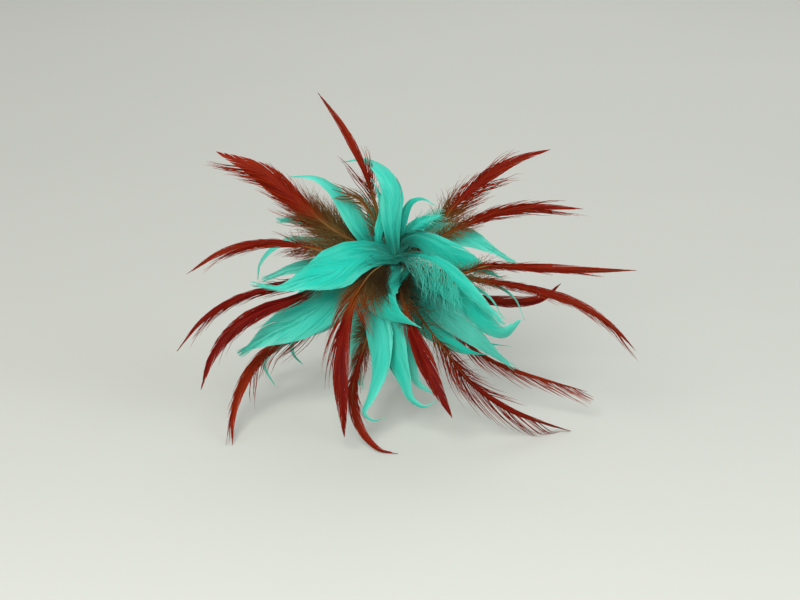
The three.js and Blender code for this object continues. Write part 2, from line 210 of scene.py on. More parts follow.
# %% The smooth line
def quill_line(path, pieces=240, fine=60):
    """Centripetal Catmull-Rom: on each span the slopes weigh the neighbouring chords by the
    square roots of their lengths. Each span is cut into fine steps and measured, and the points
    come back at equal lengths along the line."""
    p = np.asarray(path, float)
    p = np.vstack([2 * p[0] - p[1], p, 2 * p[-1] - p[-2]])
    roots = np.linalg.norm(np.diff(p, axis=0), axis=1) ** 0.5
    d0, d1, d2 = (roots[i:len(roots) - 2 + i, None, None] for i in range(3))
    p0, p1, p2, p3 = (p[i:len(p) - 3 + i, None, :] for i in range(4))
    t = np.linspace(0, 1, fine, endpoint=False)[None, :, None]
    slope1 = ((p1 - p0) / d0 - (p2 - p0) / (d0 + d1) + (p2 - p1) / d1) * d1
    slope2 = ((p2 - p1) / d1 - (p3 - p1) / (d1 + d2) + (p3 - p2) / d2) * d1
    line = (p1 + slope1 * t + (3 * (p2 - p1) - 2 * slope1 - slope2) * t**2
            + (2 * (p1 - p2) + slope1 + slope2) * t**3)
    line = np.vstack([line.reshape(-1, 3), p[-2]])
    run = np.append(0, np.cumsum(np.linalg.norm(np.diff(line, axis=0), axis=1)))
    even = np.linspace(0, run[-1], pieces + 1)
    return np.stack([np.interp(even, run, line[:, k]) for k in range(3)], -1), run[-1]


def unit(v):
    """v divided by its length."""
    return v / np.maximum(np.linalg.norm(v, axis=-1, keepdims=True), 1e-9)


print("a straight quill with points at 0, 10 and 30 mm measures",
      round(quill_line([(0, 0, 0), (10, 0, 0), (30, 0, 0)])[1], 3), "mm")


# %% A feather, and any point on or near it
class Feather:
    """A quill line with three directions at each of its points: along it, to its side, and out
    of the vane towards the viewer."""

    def __init__(self, kind, layer, wide, down, tilt, bow, path):
        self.kind, self.wide, self.down = kind, wide, down
        self.tone = 1.0
        start = (layer - MIDDLE_LAYER) * LAYER_STEP
        share = (start - CORE_BACK) / (CORE_FRONT - CORE_BACK)
        radius = CORE_BACK_RADIUS + (CORE_FRONT_RADIUS - CORE_BACK_RADIUS) * min(1, share)
        radius += 2 * GAP
        if share > 1 and kind is GOOSE:
            radius = -ACROSS_FRONT
        flat = np.array(path, float)
        flat = np.vstack([unit(flat[0]) * radius, flat])
        away = np.linalg.norm(flat, axis=1)
        past = np.maximum(0, away - kind["bow_from"])
        depth = start + (BACK_SLOPE + SLOPE_STEP * layer) * away + bow * past**2
        self.line, self.length = quill_line(np.column_stack([flat, depth]))
        self.grid = np.linspace(0, 1, len(self.line))
        self.along = unit(np.gradient(self.line, axis=0))
        side = unit(np.cross(self.along, [0, 0, 1]))
        turn = np.radians(tilt[0] + (tilt[1] - tilt[0]) * self.grid)[:, None]
        self.side = side * np.cos(turn) + np.cross(self.along, side) * np.sin(turn)
        self.out = np.cross(self.side, self.along)

    def read(self, table, s):
        """A table's value at s, straight between its rows."""
        return np.stack([np.interp(s, self.grid, table[:, k]) for k in range(3)], -1)

    def at(self, s, across=0.0, lift=0.0):
        """The quill line at s, plus across times the side direction, plus lift times the way
        out. Past the tip it goes straight on."""
        s, across, lift = np.broadcast_arrays(s, across, lift)
        past = (np.maximum(s - 1, 0) + np.minimum(s, 0)) * self.length
        return (self.read(self.line, s) + self.read(self.along, s) * past[..., None]
                + self.read(self.side, s) * across[..., None]
                + self.read(self.out, s) * lift[..., None])


goose = {name: Feather(GOOSE, layer, wide, wide, tilt, bow, path)
         for name, (layer, wide, tilt, bow, path) in GOOSE_FEATHERS.items()}
hackles = {name: Feather(HACKLE, *row) for name, row in HACKLES.items()}
print("longest quill:", round(max(f.length for f in [*goose.values(), *hackles.values()])), "mm")

# %% [markdown]
# ## Barbs as surfaces
#
# Where barbs hold together they form a web, and the web is a sheet: a grid whose rows follow the
# barbs and whose columns follow the quill. Where they part, each barb is a strip that tapers to
# nothing. A hair system would need instances at render time, so the strips are ordinary closed
# tubes with three sides, computed for all barbs of a feather at once. Each point also carries a few
# numbers that the finish reads later: how far along the feather and across the vane it is, which
# barb it belongs to, a chance value for that barb, whether it is quill or down, how pale or red its
# feather is, and how much painted shade darkens its base.

# %% A barb that meets the surface
REST_ROOM = 0.8 * MM


def lying(height):
    """A barb that meets the surface bends and lies on it. Above the room h a height stays as it
    is, and below it becomes h * h / (2 h - height), which is never under zero."""
    low = REST_ROOM**2 / (2 * REST_ROOM - np.minimum(height, REST_ROOM))
    return np.where(height < REST_ROOM, low, height)


print("a barb 1 mm under the surface is laid at", (lying(np.array(-MM)) / MM).round(3), "mm")

# %% A mesh made of many grids
MARKS = ("along", "across", "barb", "chance", "pith", "down", "tint", "shade")
RIM_ANGLE = math.radians(60)


class Piece:
    """Collects closed grids of points, with their marks, and becomes one mesh. Marks that are
    given at the start hold for all of it."""

    def __init__(self, **fixed):
        self.points, self.faces, self.marks, self.size = [], [], [], 0
        self.fixed = fixed

    def add(self, points, faces, **marks):
        """Adds points and the faces between them. A mark is a number, or one for each point."""
        count = len(points)
        self.points.append(points)
        self.faces.extend((faces + self.size).tolist())
        marks = {**self.fixed, **marks}
        rows = [np.broadcast_to(np.asarray(marks.get(m, 0.0), float).ravel(), count)
                for m in MARKS]
        self.marks.append(np.stack(rows))
        self.size += count

    def sheets(self, front, back, **marks):
        """Closed sheets from grids of front and back points, both (sheets, rows, columns, 3).
        The faces run row by row in front, the other way round behind, and round the rim."""
        sheets, rows, columns = front.shape[:3]
        number = np.arange(rows * columns).reshape(rows, columns)
        a, b = number[:-1, :-1].ravel(), number[:-1, 1:].ravel()
        c, d = number[1:, 1:].ravel(), number[1:, :-1].ravel()
        behind = rows * columns
        rim = np.concatenate([number[0, :-1], number[:-1, -1], number[-1, :0:-1],
                              number[:0:-1, 0]])
        nxt = np.roll(rim, -1)
        one = np.vstack([np.column_stack([a, b, c, d]),
                         np.column_stack([d, c, b, a]) + behind,
                         np.column_stack([rim, rim + behind, nxt + behind, nxt])])
        faces = (one[None] + 2 * behind * np.arange(sheets)[:, None, None]).reshape(-1, 4)
        both = np.stack([front, back], 1).reshape(-1, 3)
        spread = {m: np.repeat(np.broadcast_to(v, front.shape[:3])[:, None], 2, 1)
                  for m, v in marks.items()}
        self.add(both, faces, **spread)

    def tubes(self, rings, **marks):
        """Closed tubes from rings of points (tubes, steps, sides, 3): a wall of four-sided faces
        from each ring to the next, and one face across each end."""
        tubes, steps, sides = rings.shape[:3]
        number = np.arange(steps * sides).reshape(steps, sides)
        turn = np.roll(number, -1, axis=1)
        one = np.stack([number[:-1], turn[:-1], turn[1:], number[1:]], -1).reshape(-1, 4)
        shift = steps * sides * np.arange(tubes)[:, None, None]
        ends = np.stack([number[0, ::-1], number[-1]])[None] + shift + self.size
        self.add(rings.reshape(-1, 3), (one[None] + shift).reshape(-1, 4), **marks)
        self.faces.extend(ends.reshape(-1, sides).tolist())

    def strips(self, lines, widths, out, sides=3, thin=0.6, **marks):
        """Closed tubes along lines (strips, steps, 3), as wide as widths says and thinner by the
        share thin towards out. Each ring is a circle with a few corners, pressed flat."""
        along = unit(np.gradient(lines, axis=1))
        side = unit(np.cross(along, np.broadcast_to(out, lines.shape)))
        up = np.cross(along, side)
        angle = 2 * math.pi * (np.arange(sides) + 0.25) / sides
        across = np.cos(angle)[None, None, :, None] * side[:, :, None]
        lift = np.sin(angle)[None, None, :, None] * up[:, :, None] * thin
        radius = np.broadcast_to(widths, lines.shape[:2])[:, :, None, None] / 2
        rings = lines[:, :, None] + (across + lift) * radius
        spread = {m: np.repeat(np.broadcast_to(v, lines.shape[:2])[:, :, None], sides, 2)
                  for m, v in marks.items()}
        self.tubes(rings, **spread)

    def finish(self, name, material, node, slot):
        """Makes the mesh, gives it its finish, and lets it stand for its solid in the frame."""
        points = resting(np.vstack(self.points))
        if slot != "floral_tape":
            points[:, 2] = lying(points[:, 2])
        mesh = bpy.data.meshes.new(name)
        mesh.from_pydata(points.tolist(), [], self.faces)
        mesh.polygons.foreach_set("use_smooth", np.ones(len(mesh.polygons), bool))
        for mark, values in zip(MARKS, np.hstack(self.marks)):
            layer = mesh.attributes.new(mark, "FLOAT", "POINT")
            layer.data.foreach_set("value", values.astype(np.float32))
        mesh.materials.append(material)
        mesh.update()
        mesh.set_sharp_from_angle(angle=RIM_ANGLE)
        piece = bpy.data.objects.new(name, mesh)
        bpy.context.collection.objects.link(piece)
        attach(piece, "root")
        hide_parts(node)
        return piece


def triangles(piece):
    """How many triangles a piece has."""
    return sum(len(p.vertices) - 2 for p in piece.data.polygons)


print("marks on every point:", MARKS)

# %% [markdown]
# ## Webs and loose barbs
#
# A barb leaves its quill at an angle and bends towards the tip. On the sheet that means a point
# at a share u of the way to the edge belongs further along the feather than its own root. The web
# of each side is cut into clumps between parting places, and every clump narrows towards the
# edge, which opens the small slits that a handled feather has. Loose barbs are drawn as lines
# whose angle to the quill falls from root to tip, so the line is the running sum of its sine
# across the vane and of its cosine along it.


# %% A web of barbs on one side of a quill
NECK = 0.02
WIDEST_SLIT, CLUMP_HEART = 0.7, 0.35
PLEAT_WAVES = 9.4


def smooth(value, low, high):
    """0 below low, 1 above high, and 3 q q - 2 q q q between, with q the share of the way."""
    q = np.clip((value - low) / (high - low), 0, 1)
    return q * q * (3 - 2 * q)


def web(piece, feather, sign, half, start, partings, sweep, gape, thickness, ragged, fringe,
        stagger, columns=8, rows=10, pleats=0.0, down=0.0):
    """A point is at s = root + (1 - root) * sweep * u, half * u across and fall * half * u * u
    behind the quill. A clump's roots close in on its heart by the share gape * u * u. Barbs
    that would start below the neck crowd together there. Pleats are a cosine of u, one and a
    half waves wide, that dies out along the feather. Each clump ends at its own reach, each row
    of barbs at its own fringe, and each clump lies at its own height by stagger * u."""
    cuts = np.sort(draw.uniform(max(start, 0) + 0.03, 0.97, partings))
    cuts = np.concatenate([[start], cuts, [1.0]])
    share = np.linspace(0, 1, rows)[None, :, None]
    low, high = cuts[:-1, None, None], cuts[1:, None, None]
    u = np.linspace(0, 1, columns)[None, None, :]
    u = u if sign > 0 else u[..., ::-1]
    chance = draw.random((len(cuts) - 1, 1, 1))
    opening = np.minimum(gape * (0.3 + 1.4 * chance) * u**2, WIDEST_SLIT) * np.ones_like(share)
    opening = opening * np.minimum(1, 0.05 / (high - low) + 0.1)
    root = low + (high - low) * (share + opening * (CLUMP_HEART - share))
    root = np.where(high == 1.0, np.maximum(root, low + (high - low) * share), root)
    s = root + (1 - root) * sweep * u
    s = np.where(s < NECK, NECK * np.exp(np.minimum(s - NECK, 0) * 8), s)
    reach = 1 - ragged * draw.random((len(cuts) - 1, 1, 1)) * (0.3 + 0.7 * share)
    reach = reach - fringe * draw.random((len(cuts) - 1, rows, 1))
    wide = half(s)
    across = sign * wide * u * reach
    wave = stagger * (draw.random((len(cuts) - 1, 1, 1)) - 0.5) * u
    fold = pleats * (1 - smooth(s, 0.05, 0.55)) * (1 - np.cos(u * PLEAT_WAVES + sign))
    fold = fold * np.minimum(1, u * 4)
    lift = -feather.kind["fall"] * wide * u**2 + wave - fold
    edge = thickness * (1 - 0.6 * u)
    front = feather.at(s, across, lift + edge / 2)
    back = feather.at(s, across, lift - edge / 2)
    piece.sheets(front, back, along=s * feather.tone, across=sign * u, barb=root * feather.length,
                 chance=chance, down=down)


print("a smooth step at a quarter, a half and one:", smooth(np.array([0.25, 0.5, 1]), 0, 1))


# %% Loose barbs, the quill and the down
TURN = 6.28
QUILL_SIDES, QUILL_STEPS = 6, 48


def barb_lines(feather, sign, root, length, wide_angle, end_angle, lift, wave, steps):
    """Lines (barbs, steps, 3) and their s. The angle to the quill falls from wide_angle to
    end_angle, in degrees. Waves grow towards the loose end."""
    t = np.linspace(0, 1, steps)[None]
    sign, root, length, wide_angle, end_angle, lift = (
        np.broadcast_to(np.asarray(v, float), root.shape)[:, None]
        for v in (sign, root, length, wide_angle, end_angle, lift))
    angle = np.radians(end_angle + (wide_angle - end_angle) * (1 - t) ** 1.5)
    step = length / (steps - 1)
    across = np.cumsum(np.sin(angle), 1) * step - np.sin(angle[:, :1]) * step
    onward = np.cumsum(np.cos(angle), 1) * step - np.cos(angle[:, :1]) * step
    phase = draw.random(root.shape) * TURN
    pitch = draw.uniform(0.7, 1.4, root.shape)
    swing = wave * t * np.sin(phase + 9 * t * pitch)
    heave = wave * t * np.cos(phase * 1.7 + 7 * t * pitch)
    s = root + onward / feather.length
    return feather.at(s, sign * across + swing, lift * t**1.5 + heave), s, across


def loose(piece, feather, sign, root, length, wide_angle, end_angle, width, lift=0.0, wave=0.0,
          steps=8, down=0.0, onset=1.0, **marks):
    """Tapering strips along such lines."""
    lines, s, across = barb_lines(feather, sign, root, length, wide_angle, end_angle, lift, wave,
                                  steps)
    t = np.linspace(0, 1, steps)[None]
    widths = np.asarray(width, float).reshape(-1, 1) * (1 - 0.85 * t**(1.8 * onset))
    chance = draw.random((len(root), 1))
    marks = {"barb": (root * feather.length)[:, None], "chance": chance, "down": down, **marks}
    marks.setdefault("across", np.minimum(across / (feather.wide / 2), 1.0))
    piece.strips(lines, widths, feather.read(feather.out, np.clip(s, 0, 1)),
                 along=s * feather.tone, **marks)


def quill(piece, feather, base, tip, lift, since=0.0):
    """The quill is a rod along the line, from the share since to the tip. Its width in
    millimetres is tip + (base - tip) * (1 - s) to the power 1.2."""
    s = np.linspace(since, 1.0, QUILL_STEPS)
    width = tip + (base - tip) * (1 - s) ** 1.2
    line = feather.at(s, 0, lift)[None]
    piece.strips(line, width[None], feather.read(feather.out, s)[None], sides=QUILL_SIDES,
                 thin=0.9, along=s[None], pith=1.0)


print("a quill has", QUILL_SIDES, "sides and", QUILL_STEPS, "rings, and a loose barb 3 sides")

# %% [markdown]
# ## Shader maths as plain expressions
#
# A finish is a graph of small nodes. Written out node by node it is hard to read, so one class
# wraps a socket and turns +, - and * into Math nodes. Every other node comes from one method
# that takes its type, its settings and its inputs. Colours go through Mix nodes only.


# %% A socket that can be added and multiplied
class Value:
    """A number that varies over a surface, or a plain colour or vector socket."""

    def __init__(self, paint, socket):
        self.paint, self.socket = paint, socket

    def math(self, operation, *others):
        """A Math node on this value and the others, in that order."""
        return self.paint.node("ShaderNodeMath", {"operation": operation}, [self, *others])

    def __add__(self, other):
        return self.math("ADD", other)

    def __mul__(self, other):
        return self.math("MULTIPLY", other)

    def __sub__(self, other):
        return self.math("SUBTRACT", other)

    def __rsub__(self, other):
        return self.paint.node("ShaderNodeMath", {"operation": "SUBTRACT"}, [other, self])

    __radd__, __rmul__ = __add__, __mul__

    def rise(self, low, high):
        """0 below low, 1 above high, and a smooth step between."""
        return self.paint.node("ShaderNodeMapRange", {"interpolation_type": "SMOOTHSTEP"},
                               {"Value": self, "From Min": low, "From Max": high})


class Paint:
    """One material and the nodes in it."""

    def __init__(self, name):
        self.material = bpy.data.materials.new(name)
        self.material.use_nodes = True
        self.tree = self.material.node_tree
        self.tree.nodes.clear()

    def node(self, kind, settings=None, inputs=None, output=0):
        """Makes a node: its settings first, then its inputs by name or in order."""
        made = self.tree.nodes.new(kind)
        for key, value in (settings or {}).items():
            setattr(made, key, value)
        named = inputs.items() if isinstance(inputs, dict) else enumerate(inputs or [])
        for key, value in named:
            if isinstance(value, Value):
                self.tree.links.new(value.socket, made.inputs[key])
            elif value is not None:
                made.inputs[key].default_value = value
        return Value(self, made.outputs[output])

    def mark(self, name):
        """A number that the mesh carries on its points."""
        return self.node("ShaderNodeAttribute", {"attribute_name": name}, output="Fac")

    def blend(self, share, first, second):
        """A colour between two others."""
        made = self.tree.nodes.new("ShaderNodeMix")
        made.data_type = "RGBA"
        for key, value in ((0, share), (6, first), (7, second)):
            if isinstance(value, Value):
                self.tree.links.new(value.socket, made.inputs[key])
            else:
                made.inputs[key].default_value = value
        return Value(self, made.outputs[2])

    def noise(self, x, y, z, detail=2.0, roughness=0.5):
        """Soft noise in three numbers, from 0 to 1."""
        where = self.node("ShaderNodeCombineXYZ", None, [x, y, z])
        return self.node("ShaderNodeTexNoise", None, {
            "Vector": where, "Scale": 1.0, "Detail": detail, "Roughness": roughness})

    def glowing(self, body, through, share):
        """Ends in a mix of a Principled shader and light that comes through from behind, which
        takes one colour from the dye."""
        shine = self.node("ShaderNodeBsdfPrincipled", None, body)
        behind = self.node("ShaderNodeBsdfTranslucent", None, {
            "Color": through, "Normal": body["Normal"]})
        return self.end(self.node("ShaderNodeMixShader", None, [share, shine, behind]))

    def end(self, shader):
        """Wires a shader to the material's output."""
        output = self.tree.nodes.new("ShaderNodeOutputMaterial")
        self.tree.links.new(shader.socket, output.inputs["Surface"])
        return self.material


def ink(red, green, blue):
    """A colour given as it looks on a screen, 0 to 255, made linear for the shaders."""
    part = np.array([red, green, blue]) / 255
    linear = np.where(part <= 0.04045, part / 12.92, ((part + 0.055) / 1.055) ** 2.4)
    return (*linear.tolist(), 1.0)


print("a turquoise in linear light:", [round(v, 3) for v in ink(60, 212, 190)])

# %% [markdown]
# ## The turquoise finish
#
# Dyed goose feathers look like satin: fine streaks follow the barbs, the web glows where light
# comes through it, and the dye lies thinner along edges and at tips, so those are paler. The
# streaks are noise that is read at the barb's own number, which changes quickly from barb to barb,
# and only slowly from root to tip. Towards the base the colour turns darker, partly as deeper dye
# and partly as painted shade. Where a feather's base lies deep in the burst, the mark for shade
# paints more shade there and darkens its colour.


# %% Turquoise goose feather
def goose_finish():
    """Darker at the base, partly deep dye and partly painted shade, paler edges and tip, streaks
    along the barbs.
    """
    paint = Paint("dyed_goose_feather")
    along, across, barb, tint = (paint.mark(m) for m in ("along", "across", "barb", "tint"))
    chance, pith, down = (paint.mark(m) for m in ("chance", "pith", "down"))
    edge = across.math("ABSOLUTE")
    broad = paint.noise(across * 1.6, along * 3.0, chance * 2.0)
    streak = paint.noise(barb * 0.6, edge * 0.9 + along, chance * 4.0)
    fine = paint.noise(barb * 1.5, edge * 2.0, chance * 7.0, 3.0, 0.6)
    # darker towards the base: partly the dye's own depth, partly painted shade
    deep = 1 - along.rise(0.02, 0.4)
    dye = paint.blend(deep * 0.9 + (streak - 0.42) * 1.1, ink(26, 211, 189), ink(0, 112, 97))
    # paler at edges and tip and in random patches; the tint adds paleness that on goose_right_lower
    # and goose_top is partly painted light
    pale = (edge.rise(0.45, 1.0) * 0.3 + along.rise(0.55, 1.05) * 0.4 + (broad - 0.5) * 0.8
            + (fine - 0.5) * 0.5 + tint * along.rise(0.1, 0.5) * 0.5)
    dye = paint.blend(pale, dye, ink(122, 230, 212))
    # painted shade: the shade mark darkens the base of a feather that lies deep in the burst
    dye = paint.blend(paint.mark("shade") * (1 - along.rise(0.1, 0.5)), dye, ink(4, 60, 48))
    dye = paint.blend(down * 0.8, dye, ink(60, 130, 112))
    dye = paint.blend(pith * 0.6, dye, ink(120, 205, 175))
    bump = paint.node("ShaderNodeBump", None, {
        "Strength": 0.2, "Distance": 0.0004, "Height": fine * 0.7 + streak})
    return paint.glowing({"Base Color": dye, "Roughness": 0.52 + (fine - 0.5) * 0.2,
                          "Normal": bump, "Specular IOR Level": 0.3,
                          "Sheen Weight": 0.25, "Sheen Roughness": 0.4}, ink(34, 216, 192), 0.26)


turquoise = goose_finish()
print("made", turquoise.name)

# %% [markdown]
# ## The hackle finish
#
# A rooster hackle is rust red to mahogany along most of its length. Its outer barbs are brighter,
# its base turns orange brown and then to olive brown down, and its quill is tan. The same marks
# steer all of that, so one finish serves quill, web, barbs and down. The very base is darkened to
# near black as painted shade, and the mark for shade says how much further up that painted shade
# goes.


# %% Rust red hackle
def hackle_finish():
    """Down, orange brown and mahogany by share of length, brighter edges and strands, and painted
    shade near black at the base.
    """
    paint = Paint("rust_red_hackle")
    along, across, barb, tint = (paint.mark(m) for m in ("along", "across", "barb", "tint"))
    chance, pith, down = (paint.mark(m) for m in ("chance", "pith", "down"))
    edge = across.math("ABSOLUTE")
    fine = paint.noise(barb * 1.6, edge * 0.6, chance * 5.0, 3.0, 0.6)
    dark = paint.blend(fine.rise(0.35, 0.7), ink(78, 2, 0), ink(122, 10, 3))
    warm = paint.blend(fine.rise(0.35, 0.7), ink(122, 20, 5), ink(172, 60, 20))
    red = paint.blend(tint + edge.rise(0.4, 1.0) * 0.35 + (chance - 0.5) * 0.5, dark, warm)
    rust = paint.blend(fine, ink(90, 40, 9), ink(160, 88, 30))
    body = paint.blend(along.rise(0.24, 0.46), rust, red)
    fluff = paint.blend(chance * 0.7 + fine * 0.2 + edge.rise(0.3, 1.0) * 0.2, ink(38, 28, 13),
                        ink(146, 122, 72))
    body = paint.blend(down, body, fluff)
    # painted shade: the very base turns near black, and the shade mark carries it further up
    hidden = 1 - (along - paint.mark("shade")).rise(0.03, 0.22)
    body = paint.blend(hidden * 0.8, body, ink(27, 16, 8))
    rod = paint.blend(along.rise(0.12, 0.26), ink(132, 114, 70), ink(150, 78, 24))
    rod = paint.blend(along.rise(0.34, 0.5), rod, ink(134, 22, 8))
    body = paint.blend(pith, body, rod)
    bump = paint.node("ShaderNodeBump", None, {
        "Strength": 0.3, "Distance": 0.0003, "Height": fine})
    return paint.glowing({"Base Color": body, "Roughness": 0.48 + fine * 0.15, "Normal": bump,
                          "Specular IOR Level": 0.08}, ink(186, 52, 14), 0.1)


rust_red = hackle_finish()
print("made", rust_red.name)

# %% [markdown]
# ## Dressing the goose feathers
#
# A curled goose feather is a broad smooth web that holds together almost to its tip. Each side of
# the quill is one web with a few partings. Some loose barbs leave the edges, the quill itself is a
# thin rod on the hidden side, and a few soft filaments of down sit at the base. Where a feather
# is frayed or hangs in threads, a row of the table says so: the side, the part of the length,
# how many, how long in millimetres, the angles to the quill at the root and at the end, and how
# much they wave.

# %% Threads that hang from some goose feathers
def both(*row):
    """One row of a table for each side of the quill."""
    return [(1, *row), (-1, *row)]


THREADS = {
    "goose_right_front": [(1, 0.06, 0.6, 170, 10, 28, 58, 36, 2.6),
                          (1, 0.5, 0.98, 90, 8, 20, 18, 4, 0.5),
                          (-1, 0.6, 0.9, 20, 8, 14, 14, 4, 0.4)],
    "goose_left_broad": both(0.45, 0.99, 110, 8, 20, 11, 3, 0.3),
    "goose_left_soft": both(0.5, 0.98, 60, 8, 16, 12, 3, 0.3),
    "goose_left": [(1, 0.5, 0.95, 50, 8, 16, 10, 3, 0.2),
                   (-1, 0.4, 0.95, 50, 8, 16, 10, 3, 0.2)],
    "goose_right_lower": both(0.3, 0.9, 40, 8, 16, 12, 4, 0.2),
    "goose_right_arch": [(1, 0.25, 0.7, 60, 8, 20, 30, 14, 0.8)],
    "goose_front_left": [(1, 0.1, 0.5, 30, 10, 18, 26, 12, 0.6)],
    "goose_front_left_back": [(1, 0.2, 0.95, 50, 8, 18, 22, 8, 0.5),
                              (-1, 0.4, 0.95, 40, 8, 16, 18, 6, 0.5)],
    "goose_left_blunt": both(0.6, 0.98, 30, 6, 12, 14, 4, 0.3),
    "goose_upper_right_short": [(1, 0.3, 0.9, 50, 5, 12, 40, 20, 0.8),
                                (-1, 0.3, 0.9, 40, 5, 12, 40, 20, 0.8)],
    "goose_right_outer": both(0.6, 0.98, 40, 6, 14, 12, 3, 0.3),
}
print(len(THREADS), "goose feathers hang in threads, most of them",
      max(THREADS, key=lambda name: sum(row[3] for row in THREADS[name])))

# %% [markdown]
# ## Outlines and shades of the goose feathers
#
# Most of these feathers are widest a good third of the way up and taper from there. A table gives
# an outline of its own to each that differs: where its belly is, its width at the base as a share
# of its full width, the power of its taper, and how wide its left and its right side are, as seen
# on a feather that points up. Smaller tables say how pale a feather's colour is, how far the
# colours of its base reach, where a tone under 1 takes them further, and how much painted shade
# darkens its base. The last two serve the hackles too. The paleness is mostly the dye's own, but on
# goose_right_lower and goose_top it is partly painted light. On goose_right_lower and
# goose_right_lower_back a low tone carries the darker base, which is partly painted shade, further
# up.

# %% Outlines and shades
USUAL_OUTLINE = (0.38, 0.72, 1.4, 1.0, 1.0)
OUTLINES = {
    "goose_top": (0.42, 0.7, 1.6, 1.0, 1.0),
    "goose_upper_left": (0.18, 0.95, 1.0, 1.0, 1.7),
    "goose_right_arch": (0.5, 0.6, 1.3, 1.0, 1.8),
    "goose_right_front": (0.6, 0.3, 1.1, 1.0, 0.4),
    "goose_right_lower": (0.35, 0.8, 1.2, 1.2, 1.1),
    "goose_right_crescent": (0.66, 0.6, 0.55, 1.0, 1.5),
    "goose_left": (0.42, 0.75, 1.7, 1.15, 1.5),
    "goose_left_broad": (0.42, 0.8, 0.95, 0.85, 1.05),
    "goose_left_arc": (0.6, 1.3, 0.7, 1.5, 1.5),
    "goose_left_soft": (0.5, 0.8, 0.8, 1.2, 1.2),
    "goose_left_lower_outer": (0.5, 0.9, 0.8, 1.4, 1.4),
    "goose_left_lower_inner": (0.5, 0.9, 0.8, 1.4, 1.4),
    "goose_front_right_back": (0.5, 0.9, 0.9, 1.3, 1.3),
    "goose_left_blunt": (0.6, 0.6, 0.5, 1.0, 1.0),
    "goose_centre_curl": (0.4, 0.95, 1.3, 1.25, 2.1),
    "goose_front_left": (0.32, 1.0, 1.3, 1.1, 1.3),
    "goose_front_left_back": (0.35, 1.0, 0.8, 1.1, 1.5),
    "goose_front_right": (0.25, 1.0, 1.3, 1.0, 1.5),
}
# paleness: mostly the dye's own, but on goose_right_lower and goose_top partly painted light
TINTS = {
    "goose_left_soft": 0.9, "goose_left_arc": 0.7, "goose_right_lower": 1.0,
    "goose_right_lower_back": -0.6, "goose_front_right_back": 0.8, "goose_right_outer": 0.6,
    "goose_right_thin_outer": 0.8, "goose_right_thin_inner": 0.8, "goose_left_broad": 0.3,
    "goose_upper_left": 0.5, "goose_front_left": 0.3, "goose_front_right": 0.2,
    "goose_front_left_back": 1.0, "goose_top": 0.4,
    "goose_left_lower_outer": 0.6, "goose_left_lower_inner": 0.6,
}
# a low tone keeps the base colours further up; on goose_right_lower and goose_right_lower_back that
# carries painted shade
TONES = {"hackle_top_short": 0.5, "hackle_upper_left": 0.84, "goose_right_lower": 0.7,
         "goose_right_lower_back": 0.6, "goose_centre_curl": 0.8}
# painted shade: how strongly and how far up each feather's base is darkened
SHADE = {"goose_right_lower": 0.9, "goose_right_lower_back": 0.7, "goose_centre_curl": 0.3,
         "goose_front_left": 0.5, "goose_right_arch": 0.4, "goose_right_crescent": 0.6,
         "goose_left_broad": 0.3, "hackle_right_lower_1": 0.15, "hackle_front_right": 0.12,
         "hackle_front_left": 0.12, "goose_front_right": 0.2}
print("own outlines:", len(OUTLINES), "own tints:", len(TINTS), "own shade:", len(SHADE))


# %% Goose feathers
PLEAT_SHARE, PLEAT_LIMIT = 0.028, 0.34
GOOSE_WEB = dict(sweep=0.6, gape=0.24, thickness=0.25, ragged=0.05, fringe=0.03, stagger=0.5)
DOWN_HAIRS = 50


def ribbon(feather, sign, belly, base, point, left, right):
    """Half the width of one side: it grows from the base share to full width at the belly as a
    smooth step, then falls to the tip as a cosine to the power point. The share for the side
    fades out before the tip."""
    side = right if sign > 0 else left

    def half(s):
        s = np.clip(s, 0, 1)
        grown = base + (1 - base) * smooth(s, 0, belly)
        taper = np.cos(math.pi / 2 * np.clip((s - belly) / (1 - belly), 0, 1)) ** point
        share = 1 + (side - 1) * (1 - smooth(s, 0.4, 0.85))
        return feather.wide / 2 * grown * taper * share
    return half


def threads(piece, feather, groups, thick, vary, **marks):
    """The loose groups of one feather, as its table row gives them. The roots are spread evenly,
    the angles differ from the table's by up to the share vary, and none reaches far past the
    feather's tip."""
    for side, low, high, count, short, long, wide_angle, end_angle, wave in groups:
        root = low + (high - low) * (np.arange(count) + draw.random(count)) / count
        length = draw.uniform(short, long, count)
        length = np.minimum(length, (1.04 - root) * feather.length)
        spread = draw.uniform(1 - vary, 1 + vary, count)
        loose(piece, feather, side, root, length, wide_angle * spread, end_angle * spread,
              draw.uniform(*thick, count), lift=draw.uniform(-0.14, 0.08, count) * length,
              wave=wave, onset=1.6, **marks)


